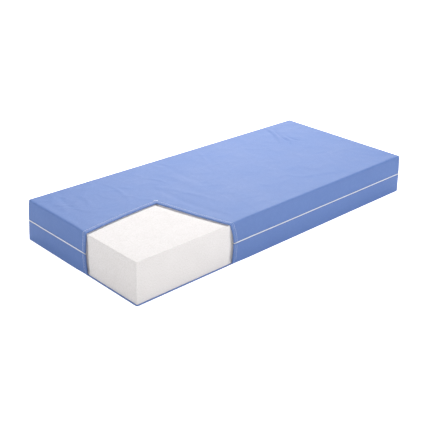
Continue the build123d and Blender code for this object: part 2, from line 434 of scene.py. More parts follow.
def lean(point):
    """How far the walls lean in towards the top edge and spread at the base."""
    rise = max(0.0, (point.z - ZIP_HEIGHT) / (HEIGHT - ZIP_HEIGHT)) ** LEAN_CURVE
    drop = max(0.0, 1 - point.z / ZIP_HEIGHT)
    held = (WALL_LEAN * rise - WALL_SPREAD * drop) * smooth(0.0, LEAN_STARTS, from_window(point))
    by_end = hump(HALF_LENGTH - abs(point.x), LEAN_BAND)
    by_side = hump(HALF_WIDTH - abs(point.y), LEAN_BAND)
    return Vector((-held * by_end * (1 if point.x > 0 else -1),
                   -held * by_side * (1 if point.y > 0 else -1), 0))


def bow(point):
    """How far the fabric has been drawn along itself from the plain form."""
    shift = lean(point)
    swell = math.sin(math.pi * min(1.0, point.z / SWELL_TOP))
    near_top = smooth(0.5, 1.0, point.z / HEIGHT)
    gap = from_side_cut(point)
    if abs(gap) < CUT_REACH and point.y < WINDOW_APEX.y:
        share = max(0.0, (point.y + HALF_WIDTH) / (WINDOW_APEX.y + HALF_WIDTH))
        rise = max(0.0, (point.z - ZIP_HEIGHT) / (HEIGHT - ZIP_HEIGHT))
        pull = SIDE_CUT_SLACK + SIDE_CUT_SWELL * swell - SIDE_CUT_PULL * rise * rise
        pull *= max(0.0, 1 - share) ** SIDE_CUT_TAPER
        pull -= SIDE_CUT_BOW * math.sin(math.pi * share) * near_top
        shift.x += pull * hump(gap, CUT_FADE)
    gap = from_foot_cut(point)
    if abs(gap) < CUT_REACH and point.x < WINDOW_APEX.x:
        share = max(0.0, (point.x + HALF_LENGTH) / (WINDOW_APEX.x + HALF_LENGTH))
        pull = FOOT_CUT_SWELL * swell * max(0.0, 1 - FOOT_CUT_TAPER * share)
        pull += FOOT_CUT_BOW * math.sin(math.pi * share) * near_top
        shift.y += pull * hump(gap, CUT_FADE)
    return shift


def on_fabric(point, normal, proud=0.0):
    """Where a point of the cover's plain form lies on the real fabric, or proud of it."""
    return point + bow(point) + normal * (relief(point, normal) + proud)


# ---- Cover shells ----
def rounded_block(low, high, corner, window_corner, edge, edge_on_top):
    """A block with rounded upright corners, and one rounded rim at its top or its base."""
    bm = bmesh.new()
    bmesh.ops.create_cube(bm, size=1)
    bmesh.ops.scale(bm, vec=high - low, verts=bm.verts)
    bmesh.ops.translate(bm, vec=(low + high) / 2, verts=bm.verts)
    upright = [e for e in bm.edges if abs(e.verts[0].co.z - e.verts[1].co.z) > MM]
    by_window = [e for e in upright if e.verts[0].co.x < 0 and e.verts[0].co.y < 0]
    covered = [e for e in upright if e not in by_window]
    bevel(bm, covered, corner, 12)
    bevel(bm, by_window, window_corner, 6)
    rim_height = high.z if edge_on_top else low.z
    bevel(bm, [e for e in bm.edges if all(abs(v.co.z - rim_height) < 1e-5 for v in e.verts)], edge, 5)
    return bm


def divide(bm, axis, places):
    """Cut a mesh with planes across one axis."""
    normal = Vector((0, 0, 0))
    normal[axis] = 1
    for place in places:
        cut(bm, normal * place, normal)


# How far from a cut its rows of vertices reach, and where the shells and the foam have theirs, in mm.
CUT_ROWS_FROM = -45 * MM
CUT_ROWS_TO = 60 * MM
SHELL_CUT_ROWS = [3, 6, 9, 11, 13, 15, 18, 21, 24, 28, 34, 42]
FOAM_CUT_ROWS = [-36, -31, -26, -22, -18.5, -15, -12, -9.5, -7, -5, -3, -1, 2, 6, 12, 20]
ZIP_ROWS = (4.3, 5.3, 6.5, 7.7, 9.5, 12, 16, 22)


def near_cut(face, distance_from):
    """Whether a face lies beside one of the window's cuts."""
    middle = face.calc_center_median()
    return (CUT_ROWS_FROM < distance_from(middle) < CUT_ROWS_TO
            and from_window(middle) < CUT_ROWS_TO + 15 * MM)


def cut_rows(bm, rows):
    """Cut rows of vertices along the window's edges, at distances in millimetres."""
    for origin, normal, distance_from in ((WINDOW_ON_FOOT, FOOT_NORMAL, from_foot_cut),
                                          (WINDOW_ON_SIDE, SIDE_NORMAL, from_side_cut)):
        for row in rows:
            place = (origin + normal * row * MM).to_3d()
            cut(bm, place, normal.to_3d(), [f for f in bm.faces if near_cut(f, distance_from)])


def cut_window(bm, above):
    """Open the display window in a shell, with rows of vertices along its hem."""
    cut_rows(bm, SHELL_CUT_ROWS)
    if above > 0:
        cut(bm, Vector((0, 0, above)), Vector((0, 0, 1)), [
            f for f in bm.faces if from_window(f.calc_center_median()) < 0.02])
    inside = [f for f in bm.faces if f.calc_center_median().z > above
              and from_window(f.calc_center_median()) < COVER_EDGE]
    bmesh.ops.delete(bm, geom=inside, context="FACES")


def sculpt(bm, fabric_of=on_fabric):
    """Move each vertex of a plain form to where the fabric lies."""
    bm.normal_update()
    moved = [(vert, fabric_of(vert.co.copy(), vert.normal.copy())) for vert in bm.verts]
    for vert, place in moved:
        vert.co = place


FOLD_ROLL = 0.85 * MM
FOLD_RETURN = 2 * FOLD_ROLL + 0.1 * MM


def turn_under(bm, fold, down):
    """Turn the fabric under along the zip, with a small roll and a flat return behind it."""
    edge = [e for e in bm.edges if e.is_boundary and all(abs(v.co.z - fold) < 0.3 * MM for v in e.verts)]
    rim = {v for e in edge for v in e.verts}
    inward = {}
    for vert in rim:
        flat = Vector((vert.normal.x, vert.normal.y, 0))
        inward[vert] = -flat.normalized()
    path = [(FOLD_ROLL * (1 - math.cos(math.radians(a))), FOLD_ROLL * math.sin(math.radians(a)))
            for a in (45, 90, 135, 180)]
    path += [(FOLD_RETURN, -4 * MM), (FOLD_RETURN, -9 * MM)]
    start = {v: v.co.copy() for v in rim}
    for depth, drop in path:
        made = bmesh.ops.extrude_edge_only(bm, edges=edge)["geom"]
        edge = [g for g in made if isinstance(g, bmesh.types.BMEdge) and g.is_boundary
                and len([v for v in g.verts if v not in start]) == 2]
        new_start, new_inward = {}, {}
        for vert in {v for e in edge for v in e.verts}:
            source = min((o.other_vert(vert) for o in vert.link_edges if o.other_vert(vert) in start),
                         key=lambda v: (v.co - vert.co).length)
            new_start[vert] = start[source]
            new_inward[vert] = inward[source]
        for vert, place in new_start.items():
            vert.co = place + new_inward[vert] * depth + Vector((0, 0, -down * drop))
        start, inward = new_start, new_inward


def lay_uv(bm):
    """Lay the cloth's threads along the faces, in metres."""
    layer = bm.loops.layers.uv.new("threads")
    for face in bm.faces:
        facing = [abs(c) for c in face.normal]
        if facing[2] >= max(facing[0], facing[1]):
            across, up = 0, 1
        else:
            across, up = (1 if facing[0] > facing[1] else 0), 2
        for loop in face.loops:
            loop[layer].uv = (loop.vert.co[across], loop.vert.co[up])


def make_cover(side, low_z, high_z, window_corner, edge, cell, hem_top):
    """One of the cover's shells, above the zip (side 1) or below it (side -1)."""
    low = Vector((-HALF_LENGTH, -HALF_WIDTH, low_z))
    high = Vector((HALF_LENGTH, HALF_WIDTH, high_z))
    bm = rounded_block(low, high, SIDE_CORNER, window_corner, edge, side > 0)
    open_side = [f for f in bm.faces if side * f.normal.z < -0.5]
    bmesh.ops.delete(bm, geom=open_side, context="FACES")
    by_zip = sorted(ZIP_HEIGHT + side * h * MM for h in ZIP_ROWS)
    if side > 0:
        divide(bm, 2, by_zip + steps(by_zip[-1], high.z - edge, CLOTH_CELL))
    else:
        divide(bm, 2, steps(edge, by_zip[0], CLOTH_CELL) + by_zip)
    for axis in (0, 1):
        divide(bm, axis, steps(low[axis] + SIDE_CORNER, high[axis] - SIDE_CORNER, cell))
    cut_window(bm, hem_top)
    sculpt(bm)
    bm.normal_update()
    turn_under(bm, UPPER_FOLD if side > 0 else LOWER_FOLD, side)
    bm.normal_update()
    lay_uv(bm)
    return bm


# ---- Strips that follow a seam: hems and zip tapes ----
def strip(columns, rows, place):
    """A strip of cloth woven as a grid and laid out by place(column, row)."""
    bm = bmesh.new()
    bmesh.ops.create_grid(bm, x_segments=len(columns) - 1, y_segments=len(rows) - 1, size=1)
    layer = bm.loops.layers.uv.new("threads")
    index = {}
    for vert in bm.verts:
        column = round((vert.co.x + 1) / 2 * (len(columns) - 1))
        row = round((vert.co.y + 1) / 2 * (len(rows) - 1))
        index[vert] = (column, row)
        vert.co = place(columns[column], rows[row])
    along, across = [0.0], [0.0]
    grid = {key: vert for vert, key in index.items()}
    middle = len(rows) // 2
    for column in range(1, len(columns)):
        along.append(along[-1] + (grid[column, middle].co - grid[column - 1, middle].co).length)
    for row in range(1, len(rows)):
        across.append(across[-1] + (grid[0, row].co - grid[0, row - 1].co).length)
    for face in bm.faces:
        for loop in face.loops:
            column, row = index[loop.vert]
            loop[layer].uv = (along[column], across[row])
    return bm


def hem_apex(gap):
    """Where the two edges of a hem row meet, at a distance from the window."""
    foot_point = WINDOW_ON_FOOT + FOOT_NORMAL * gap
    side_point = WINDOW_ON_SIDE + SIDE_NORMAL * gap
    turn = FOOT_ALONG.x * SIDE_ALONG.y - FOOT_ALONG.y * SIDE_ALONG.x
    between = side_point - foot_point
    reach = (between.x * SIDE_ALONG.y - between.y * SIDE_ALONG.x) / turn
    return foot_point + FOOT_ALONG * reach


def foot_y(gap, x):
    """Where a hem row crosses the foot end's side of the window at x."""
    return WINDOW_ON_FOOT.y + (gap - (x - WINDOW_ON_FOOT.x) * FOOT_NORMAL.x) / FOOT_NORMAL.y


def side_x(gap, y):
    """Where a hem row crosses the long side of the window at y."""
    return WINDOW_ON_SIDE.x + (gap - (y - WINDOW_ON_SIDE.y) * SIDE_NORMAL.y) / SIDE_NORMAL.x


OUTWARD = {"foot": Vector((-1, 0, 0)), "side": Vector((0, -1, 0))}
UPWARD = Vector((0, 0, 1))


def wall_point(end, gap, inset, z):
    """Where a hem row meets the foot end's or the long side's wall, or a plane inset from it."""
    if end == "foot":
        x = -HALF_LENGTH + inset
        return Vector((x, foot_y(gap, x), z))
    y = -HALF_WIDTH + inset
    return Vector((side_x(gap, y), y, z))


def upper_hem_columns():
    """Stations along the upper hem, from the zip at the foot wall to the zip at the side wall."""
    wall = [k / 12 for k in range(13)]
    edge = [15 * k for k in range(1, 6)]
    columns = [("foot", "wall", q) for q in wall]
    columns += [("foot", "edge", a) for a in edge]
    columns += [("foot", "top", k / 56) for k in range(56)]
    columns += [("side", "top", 1 - k / 52) for k in range(53)]
    columns += [("side", "edge", 90 - a) for a in edge]
    columns += [("side", "wall", 1 - q) for q in wall]
    return columns


def upper_hem_spot(column, gap):
    """A point of the plain form and its normal, at a station of the upper hem."""
    end, part, share = column
    wall_top = HEIGHT - TOP_EDGE
    if part == "wall":
        return wall_point(end, gap, 0, UPPER_FOLD + (wall_top - UPPER_FOLD) * share), OUTWARD[end]
    if part == "edge":
        angle = math.radians(share)
        point = wall_point(end, gap, TOP_EDGE * (1 - math.cos(angle)), wall_top + TOP_EDGE * math.sin(angle))
        return point, OUTWARD[end] * math.cos(angle) + UPWARD * math.sin(angle)
    apex = hem_apex(gap)
    return wall_point(end, gap, TOP_EDGE, HEIGHT).lerp(Vector((apex.x, apex.y, HEIGHT)), share), UPWARD


def lower_hem_columns():
    """Stations along the lower hem: down the foot wall, round the base and up the side wall."""
    columns = [("foot", "wall", k / 12) for k in range(13)]
    columns += [("foot", "base", k / 40) for k in range(1, 41)]
    columns += [("corner", "base", 15 * k) for k in range(1, 6)]
    columns += [("side", "base", 1 - k / 60) for k in range(61)]
    columns += [("side", "wall", 1 - k / 12) for k in range(1, 13)]
    return columns


def lower_hem_spot(column, gap):
    """A point of the plain form and its normal, at a station of the lower hem.

    The base leaves the hem little room, so its rows lie closer together there."""
    end, part, share = column
    base = BASE_HEM - min(gap * BASE_HEM_SQUEEZE, BASE_HEM_DROP)
    round_in = BOTTOM_EDGE - math.sqrt(max(0.0, BOTTOM_EDGE ** 2 - max(0.0, BOTTOM_EDGE - base) ** 2))
    if part == "wall":
        point = wall_point(end, gap, 0, LOWER_FOLD + (base - LOWER_FOLD) * share)
        return point - OUTWARD[end] * round_in * smooth(0.9, 1.0, share), OUTWARD[end]
    turn = Vector((-HALF_LENGTH + WINDOW_CORNER, -HALF_WIDTH + WINDOW_CORNER, base))
    if end == "corner":
        angle = math.radians(share)
        outward = Vector((-math.cos(angle), -math.sin(angle), 0))
        return turn + outward * (WINDOW_CORNER - round_in), outward
    at_wall = wall_point(end, gap, 0, base) - OUTWARD[end] * round_in
    return at_wall.lerp(turn + OUTWARD[end] * (WINDOW_CORNER - round_in), share), OUTWARD[end]


# Across a hem: distance from the window's edge, and height above the fabric, in millimetres.
HEM_SECTION = [
    (13.8, -0.4), (13.3, 0.6), (12.4, 1.2), (11.7, 1.0), (11.0, 0.7), (10.3, 1.0), (9.2, 1.8),
    (7.0, 2.4), (4.6, 2.6), (2.4, 2.2), (0.9, 1.2), (0.15, -0.2), (0.0, -2.0), (0.15, -3.6),
    (0.9, -4.6), (2.4, -5.0), (6.0, -4.8), (14.0, -4.0), (24.0, -3.0),
]


QUILTING = 0.5 * MM
QUILTING_SIZE = 11 * MM


def hem_strip(columns, spot):
    """A turned and stitched hem: a band on the face, a rolled edge and a facing behind."""
    def place(column, row):
        gap, proud = (value * MM for value in row)
        point, normal = spot(column, gap)
        face_on = smooth(-4.0 * MM, 0.3 * MM, proud)
        quilting = QUILTING * noise.noise(point / QUILTING_SIZE) * face_on
        return on_fabric(point, normal, proud + quilting)
    return strip(columns, HEM_SECTION, place)


# ---- The way round the mattress at the zip ----
def wall_runs():
    """The zip's way round: straight walls and quarter-circle corners, as (kind, length, ...)."""
    left, right = -HALF_LENGTH, HALF_LENGTH
    near, far = -HALF_WIDTH, HALF_WIDTH
    r = SIDE_CORNER
    arc = math.pi / 2 * r
    start_y = foot_y(0, left)
    end_x = side_x(0, near)
    return [
        ("run", far - r - start_y, (left, start_y), (0, 1), (-1, 0)),
        ("arc", arc, (left + r, far - r), 180, -90),
        ("run", right - left - 2 * r, (left + r, far), (1, 0), (0, 1)),
        ("arc", arc, (right - r, far - r), 90, -90),
        ("run", far - near - 2 * r, (right, far - r), (0, -1), (1, 0)),
        ("arc", arc, (right - r, near + r), 0, -90),
        ("run", right - r - end_x, (right - r, near), (-1, 0), (0, -1)),
    ]


WALL_RUNS = wall_runs()
WALL_LENGTH = sum(run[1] for run in WALL_RUNS)


def along_wall(distance, z):
    """A point of the plain form, its normal and the way round, at a distance from the window."""
    for kind, length, *shape in WALL_RUNS:
        if distance <= length or (kind, length, *shape) == WALL_RUNS[-1]:
            break
        distance -= length
    if kind == "run":
        start, way, normal = shape
        point = Vector(start) + Vector(way) * distance
        return (Vector((point.x, point.y, z)), Vector((*normal, 0)), Vector((*way, 0)))
    centre, first, turn = shape
    angle = math.radians(first + turn * distance / length)
    normal = Vector((math.cos(angle), math.sin(angle), 0))
    way = Vector((math.sin(angle), -math.cos(angle), 0))
    return Vector((*centre, z)) + normal * SIDE_CORNER, normal, way


def wall_stations(low, high, run_step):
    """Distances round the walls, closer together round the corners and by the window."""
    places, done = [low], 0.0
    for kind, length, *_ in WALL_RUNS:
        step = run_step if kind == "run" else 2.5 * MM
        places += [done + p for p in [0.0] + steps(0, length, step)]
        done += length
    places += [low + k * 5 * MM for k in range(1, 8)] + [high - k * 5 * MM for k in range(1, 8)]
    kept = sorted({round(p, 5) for p in places if low <= p < high})
    return kept + [high]


def smooth_wall(distance, z, proud):
    """A point on the fabric round the walls, taken between the puckers of the zip's seams."""
    point, normal, _ = along_wall(distance, z)
    above, below = (Vector((point.x, point.y, ZIP_HEIGHT + s * 14 * MM)) for s in (1, -1))
    middle = (relief(above, normal) + relief(below, normal)) / 2
    return point + bow(point) + normal * (middle + proud)


TAPE_DEPTH = 1.9 * MM
ZIP_END = 1.5 * MM
COIL_WIRE = 0.62 * MM
COIL_WIDTH = 3.5 * MM
COIL_ROW = 1.6 * MM
COIL_DEPTH = 0.25 * MM


def make_tape(side):
    """One side of the zip: a flat woven tape behind the fabric's fold."""
    columns = wall_stations(ZIP_END, WALL_LENGTH - ZIP_END, 20 * MM)
    rows = [0.5, 1.2, 3, 6, 10, 15]

    def place(distance, row):
        return smooth_wall(distance, ZIP_HEIGHT + side * row * MM, -TAPE_DEPTH)

    return strip(columns, rows, place)


def repeat(bm_shape, places):
    """Many copies of one small shape, one at each place."""
    template = bpy.data.meshes.new("repeated_shape")
    bm_shape.to_mesh(template)
    bm_shape.free()
    bm = bmesh.new()
    for place in places:
        template.transform(place)
        bm.from_mesh(template)
        template.transform(place.inverted())
    bpy.data.meshes.remove(template)
    return bm


def turned(way, side, up, place):
    """The matrix that sets a shape's x, y and z axes along way, side and up, at place."""
    turn = Matrix((way, side, up)).transposed().to_4x4()
    return Matrix.Translation(place) @ turn


def coil_loop():
    """One loop of the zip's coil: a short rounded bar that lies across the closing line."""
    bm = bmesh.new()
    bmesh.ops.create_cone(bm, cap_ends=True, segments=6, radius1=COIL_WIRE, radius2=COIL_WIRE,
                          depth=COIL_WIDTH)
    rims = [e for e in bm.edges if abs(e.verts[0].co.z - e.verts[1].co.z) < 1e-6]
    bevel(bm, rims, 0.22 * MM, 1)
    bmesh.ops.scale(bm, vec=(1, 1.25, 1), verts=bm.verts)
    return bm


def make_coil(side):
    """One side's row of loops, which mesh with the other side's at the closing line."""
    places = []
    count = int((WALL_LENGTH - 2 * ZIP_END) / COIL_PITCH)
    shift = 0.25 if side > 0 else 0.75
    for k in range(count):
        distance = ZIP_END + (k + shift) * COIL_PITCH
        height = ZIP_HEIGHT + side * COIL_ROW
        _, normal, way = along_wall(distance, height)
        centre = smooth_wall(distance, height, -COIL_DEPTH)
        places.append(turned(way, normal, way.cross(normal), centre))
    return repeat(coil_loop(), places)


# ---- Sewing thread ----
def stitch_shape(radius):
    """One stitch: a short thread, thickest in its middle, that dips at both ends."""
    bm = bmesh.new()
    bmesh.ops.create_uvsphere(bm, u_segments=6, v_segments=4, radius=1)
    bmesh.ops.rotate(bm, cent=(0, 0, 0), matrix=Matrix.Rotation(math.pi / 2, 3, "Y"), verts=bm.verts)
    bmesh.ops.scale(bm, vec=(STITCH_LENGTH / 2, radius, radius), verts=bm.verts)
    return bm


def row_of_stitches(spots, trees, sink=0.1 * MM):
    """Places for stitches along a row of (point, normal) spots, laid on the sewn pieces."""
    laid = []
    for point, normal in spots:
        hits = [tree.ray_cast(point + normal * 8 * MM, -normal, 20 * MM) for tree in trees]
        hits = [hit for hit in hits if hit[0] is not None]
        if hits:
            place, facing, _, _ = min(hits, key=lambda hit: hit[3])
            laid.append((place, facing if facing.dot(normal) > 0 else -facing))
    places = []
    pitch_left = 0.0
    for (start, up), (end, _) in zip(laid, laid[1:]):
        run = end - start
        length = run.length
        if length < 1e-6 or length > 20 * MM:
            continue
        way = run / length
        side = up.cross(way).normalized()
        lifted = way.cross(side)
        while pitch_left < length:
            centre = start + way * pitch_left + lifted * (THREAD_RADIUS - sink)
            places.append(turned(way, side, lifted, centre))
            pitch_left += STITCH_PITCH
        pitch_left -= length
    return places


def tree_of(*pieces):
    """Search trees of finished pieces, for laying thread on them."""
    trees = []
    for piece in pieces:
        bm = bmesh.new()
        bm.from_mesh(piece.data)
        trees.append(BVHTree.FromBMesh(bm))
        bm.free()
    return trees


# ---- Foam core ----
def foam_dent(point, wall):
    """How deeply the window's hem presses into the foam at a point."""
    foot_gap, side_gap = from_foot_cut(point), from_side_cut(point)
    by_foot = smooth((-19 - 5 * wall) * MM, FOAM_DENT_EDGE, foot_gap) ** FOAM_DENT_CURVE
    by_side = smooth(-27 * MM, FOAM_DENT_EDGE, side_gap) ** FOAM_DENT_CURVE
    wall_depth = FOAM_WALL_DENT * (1 - 0.8 * smooth(0.14, 0.21, point.z))
    depth = max(by_foot * (FOAM_FOOT_DENT + (wall_depth - FOAM_FOOT_DENT) * wall),
                by_side * (FOAM_DENT + (wall_depth - FOAM_DENT) * wall))
    gap = max(foot_gap, side_gap)
    return max(depth * max(0.0, 1 - max(gap, 0.0) / FOAM_RISES) ** 2,
               FOAM_SETTLED * smooth(0.0, FOAM_SETTLES, gap))


def foam_surface(point, normal):
    """Where the foam's cut face really lies."""
    base = smooth(0.0, 20 * MM, point.z)
    wall = 1 - normal.z * normal.z
    raised = unevenness(point, FOAM_UNEVENNESS) - foam_dent(point, wall)
    return point + bow(point) + normal * base * raised


def make_foam(material):
    """One block of foam, crisp where the window shows it."""
    bm = rounded_block(FOAM_LOW, FOAM_HIGH, 7.5 * MM, 3.5 * MM, 3 * MM, True)
    fine_until = (WINDOW_ON_SIDE.x + 60 * MM, WINDOW_ON_FOOT.y + 120 * MM)
    for axis, fine_end in enumerate(fine_until):
        divide(bm, axis, steps(FOAM_LOW[axis] + 5 * MM, fine_end, FOAM_CELL)
               + steps(fine_end, FOAM_HIGH[axis] - 20 * MM, 5 * FOAM_CELL))
    divide(bm, 2, steps(FOAM_LOW.z, FOAM_HIGH.z - 4 * MM, FOAM_CELL))
    cut_rows(bm, FOAM_CUT_ROWS)
    sculpt(bm, foam_surface)
    bm.normal_update()
    foam = new_piece("foam_block", bm, material)
    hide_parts("foam_core")


# ---- Materials ----
class Nodes:
    """A short way to build a material's or a group's nodes."""

    def __init__(self, tree):
        self.tree = tree
        self.column = 0

    def add(self, kind, settings=None, **inputs):
        node = self.tree.nodes.new(kind)
        self.column += 1
        node.location = (180 * self.column - 1800, -40 * (self.column % 5))
        for name, value in (settings or {}).items():
            setattr(node, name, value)
        for name, value in inputs.items():
            self.feed(node.inputs[name.replace("_", " ")], value)
        return node

    def feed(self, socket, value):
        if isinstance(value, bpy.types.NodeSocket):
            self.tree.links.new(value, socket)
        else:
            socket.default_value = value

    def place(self):
        """Where a point lies on the piece."""
        return self.add("ShaderNodeTexCoord").outputs["Object"]

    def threads(self):
        """Where a point lies along the cloth's threads."""
        return self.add("ShaderNodeUVMap", {"uv_map": "threads"}).outputs["UV"]

    def group(self, name, vector, **inputs):
        """One of the shared groups, fed with a coordinate."""
        return self.add("ShaderNodeGroup", {"node_tree": GROUPS[name]}, Vector=vector, **inputs)

    def times(self, first, second):
        return self.math("MULTIPLY", first, second)

    def math(self, operation, first, second=0.0):
        node = self.add("ShaderNodeMath", {"operation": operation})
        self.feed(node.inputs[0], first)
        self.feed(node.inputs[1], second)
        return node.outputs[0]

    def mix(self, share, first, second):
        node = self.add("ShaderNodeMix", {"data_type": "RGBA"})
        self.feed(node.inputs[0], share)
        self.feed(node.inputs[6], first)
        self.feed(node.inputs[7], second)
        return node.outputs[2]

    def spread(self, value, low, high, new_low=0.0, new_high=1.0):
        node = self.add("ShaderNodeMapRange", {"clamp": True})
        for socket, number in zip(node.inputs, (value, low, high, new_low, new_high)):
            self.feed(socket, number)
        return node.outputs[0]


def node_group(name, inputs, outputs):
    """An empty shader node group with its sockets, and its input and output nodes."""
    tree = bpy.data.node_groups.new(name, "ShaderNodeTree")
    for socket, kind, value in inputs:
        made = tree.interface.new_socket(name=socket, in_out="INPUT", socket_type=kind)
        made.default_value = value
    for socket, kind in outputs:
        tree.interface.new_socket(name=socket, in_out="OUTPUT", socket_type=kind)
    nodes = Nodes(tree)
    return nodes, nodes.add("NodeGroupInput"), nodes.add("NodeGroupOutput")


def weave_group():
    """Plain weave: warp and weft threads that pass over and under each other."""
    nodes, given, result = node_group(
        "plain_weave",
        [("Vector", "NodeSocketVector", (0, 0, 0)), ("Thread", "NodeSocketFloat", 0.0006)],
        [("Height", "NodeSocketFloat"), ("Gaps", "NodeSocketFloat")])
    parts = nodes.add("ShaderNodeSeparateXYZ", Vector=given.outputs["Vector"])
    turns = nodes.math("DIVIDE", math.pi, given.outputs["Thread"])
    warp = nodes.times(parts.outputs[0], turns)
    weft = nodes.times(parts.outputs[1], turns)
    over = nodes.times(nodes.math("SINE", warp), nodes.math("SINE", weft))
    ridge_u = nodes.math("ABSOLUTE", nodes.math("SINE", warp))
    ridge_v = nodes.math("ABSOLUTE", nodes.math("SINE", weft))
    gaps = nodes.times(ridge_u, ridge_v)
    height = nodes.math("ADD", nodes.times(over, 0.35), gaps)
    nodes.feed(result.inputs["Height"], height)
    nodes.feed(result.inputs["Gaps"], nodes.math("SUBTRACT", 1.0, gaps))
    return nodes.tree


def mottle_group():
    """Soft blotches at two sizes, for dye, moulding and handling marks."""
    nodes, given, result = node_group(
        "mottle",
        [("Vector", "NodeSocketVector", (0, 0, 0)), ("Scale", "NodeSocketFloat", 8.0)],
        [("Coarse", "NodeSocketFloat"), ("Fine", "NodeSocketFloat")])
    fine_scale = nodes.times(given.outputs["Scale"], 14.0)
    for socket, scale in (("Coarse", given.outputs["Scale"]), ("Fine", fine_scale)):
        cloud = nodes.add("ShaderNodeTexNoise", Vector=given.outputs["Vector"], Scale=scale,
                          Detail=3.0, Roughness=0.55)
        nodes.feed(result.inputs[socket], cloud.outputs["Fac"])
    return nodes.tree


def thread_group():
    """A twisted thread: plies that run at a slant round it."""
    nodes, given, result = node_group(
        "twisted_ply",
        [("Vector", "NodeSocketVector", (0, 0, 0)), ("Scale", "NodeSocketFloat", 900.0)],
        [("Height", "NodeSocketFloat")])
    parts = nodes.add("ShaderNodeSeparateXYZ", Vector=given.outputs["Vector"])
    slant = nodes.math("ADD", nodes.math("ADD", parts.outputs[0], parts.outputs[1]), parts.outputs[2])
    wave = nodes.math("SINE", nodes.times(slant, given.outputs["Scale"]))
    nodes.feed(result.inputs["Height"], nodes.spread(wave, -1.0, 1.0))
    return nodes.tree


GROUPS = {"weave": weave_group(), "mottle": mottle_group(), "ply": thread_group()}


def new_material(name, **settings):
    """A material with a Principled shader, and the short way to build its nodes."""
    material = bpy.data.materials.new(name)
    material.use_nodes = True
    nodes = Nodes(material.node_tree)
    shader = material.node_tree.nodes["Principled BSDF"]
    for socket, value in settings.items():
        shader.inputs[socket.replace("_", " ")].default_value = value
    return material, nodes, shader


def bump(nodes, shader, height, strength, distance):
    """Raise a shader's surface by a height pattern; distance is in metres."""
    node = nodes.add("ShaderNodeBump", Height=height, Strength=strength, Distance=distance)
    nodes.feed(shader.inputs["Normal"], node.outputs["Normal"])


COVER_BLUE = (0.134, 0.232, 0.53, 1)
COVER_BLUE_DEEP = (0.120, 0.213, 0.505, 1)
COVER_BLUE_PALE = (0.166, 0.268, 0.575, 1)
# The deepest blue is painted shade, laid into the gaps between the weave's threads.
COVER_BLUE_SHADE = (0.085, 0.17, 0.47, 1)


def cover_cloth():
    """Blue polyurethane-coated knit: matt, fine-grained, with painted shade between its threads and a soft
    pale sheen.
    """
    material, nodes, shader = new_material("coated_stretch_fabric", Specular_IOR_Level=0.6)
    place = nodes.place()
    threads = nodes.threads()
    blotches = nodes.group("mottle", place, Scale=5.0)
    weave = nodes.group("weave", threads, Thread=0.0007)
    tone = nodes.spread(blotches.outputs["Coarse"], 0.3, 0.7)
    colour = nodes.mix(tone, COVER_BLUE_DEEP, COVER_BLUE)
    speck = nodes.spread(blotches.outputs["Fine"], 0.45, 0.75, 0.0, 0.35)
    colour = nodes.mix(speck, colour, COVER_BLUE_PALE)
    # Painted shade: the blue is darkened in the gaps between the weave's threads.
    shade = nodes.times(weave.outputs["Gaps"], 0.22)
    colour = nodes.mix(shade, colour, COVER_BLUE_SHADE)
    nodes.feed(shader.inputs["Base Color"], colour)
    nodes.feed(shader.inputs["Roughness"],
               nodes.spread(blotches.outputs["Coarse"], 0.3, 0.7, 0.56, 0.64))
    fine = nodes.times(blotches.outputs["Fine"], 0.8)
    grain = nodes.math("ADD", weave.outputs["Height"], fine)
    bump(nodes, shader, grain, 0.35, 0.00012)
    return material


def open_cell_foam():
    """Cream-white polyurethane foam, sawn to size, with fine open cells and painted shade in its pores and
    cell hollows.
    """
    material, nodes, shader = new_material("open_cell_foam", Roughness=0.95, Specular_IOR_Level=0.2)
    place = nodes.place()
    cells = nodes.add("ShaderNodeTexVoronoi", {"feature": "F1"}, Vector=place,
                      Scale=850.0)
    pores = nodes.add("ShaderNodeTexNoise", Vector=place, Scale=170.0,
                      Detail=5.0, Roughness=0.75)
    blotches = nodes.group("mottle", place, Scale=9.0)
    tone = nodes.spread(blotches.outputs["Coarse"], 0.3, 0.7)
    colour = nodes.mix(tone, (0.874, 0.843, 0.844, 1), (0.912, 0.882, 0.884, 1))
    # Painted shade: darker spots where shade falls inside the pores.
    pore_shade = nodes.spread(pores.outputs["Fac"], 0.42, 0.68, 0.0, 0.75)
    colour = nodes.mix(pore_shade, colour, (0.7, 0.675, 0.65, 1))
    # Painted shade: each cell is darker towards its hollow middle, where the bump is lowest.
    wall = nodes.spread(cells.outputs["Distance"], 0.2, 0.7, 0.25, 0.0)
    colour = nodes.mix(wall, colour, (0.78, 0.76, 0.74, 1))
    nodes.feed(shader.inputs["Base Color"], colour)
    pored = nodes.times(pores.outputs["Fac"], 1.4)
    texture = nodes.math("ADD", cells.outputs["Distance"], pored)
    bump(nodes, shader, texture, 0.45, 0.0006)
    return material


def zip_tape_cloth():
    """White polyester tape, woven with ribs along it, with painted shade between its threads."""
    material, nodes, shader = new_material("white_zip_tape", Roughness=0.8)
    threads = nodes.threads()
    weave = nodes.group("weave", threads, Thread=0.0005)
    # Painted shade: the tape is darker in the gaps between its woven threads.
    colour = nodes.mix(nodes.times(weave.outputs["Gaps"], 0.5),
                       (0.82, 0.84, 0.86, 1), (0.55, 0.58, 0.63, 1))
    nodes.feed(shader.inputs["Base Color"], colour)
    bump(nodes, shader, weave.outputs["Height"], 0.5, 0.0002)
    return material


def coil_plastic():
    """White monofilament of the zip's coil."""
    material, nodes, shader = new_material("white_coil_plastic")
    place = nodes.place()
    marks = nodes.group("mottle", place, Scale=120.0)
    colour = nodes.mix(nodes.spread(marks.outputs["Coarse"], 0.35, 0.7),
                       (0.93, 0.94, 0.95, 1), (0.88, 0.89, 0.91, 1))
    nodes.feed(shader.inputs["Base Color"], colour)
    nodes.feed(shader.inputs["Roughness"], nodes.spread(marks.outputs["Fine"], 0.3, 0.7, 0.3, 0.45))
    bump(nodes, shader, marks.outputs["Fine"], 0.2, 0.00004)
    return material


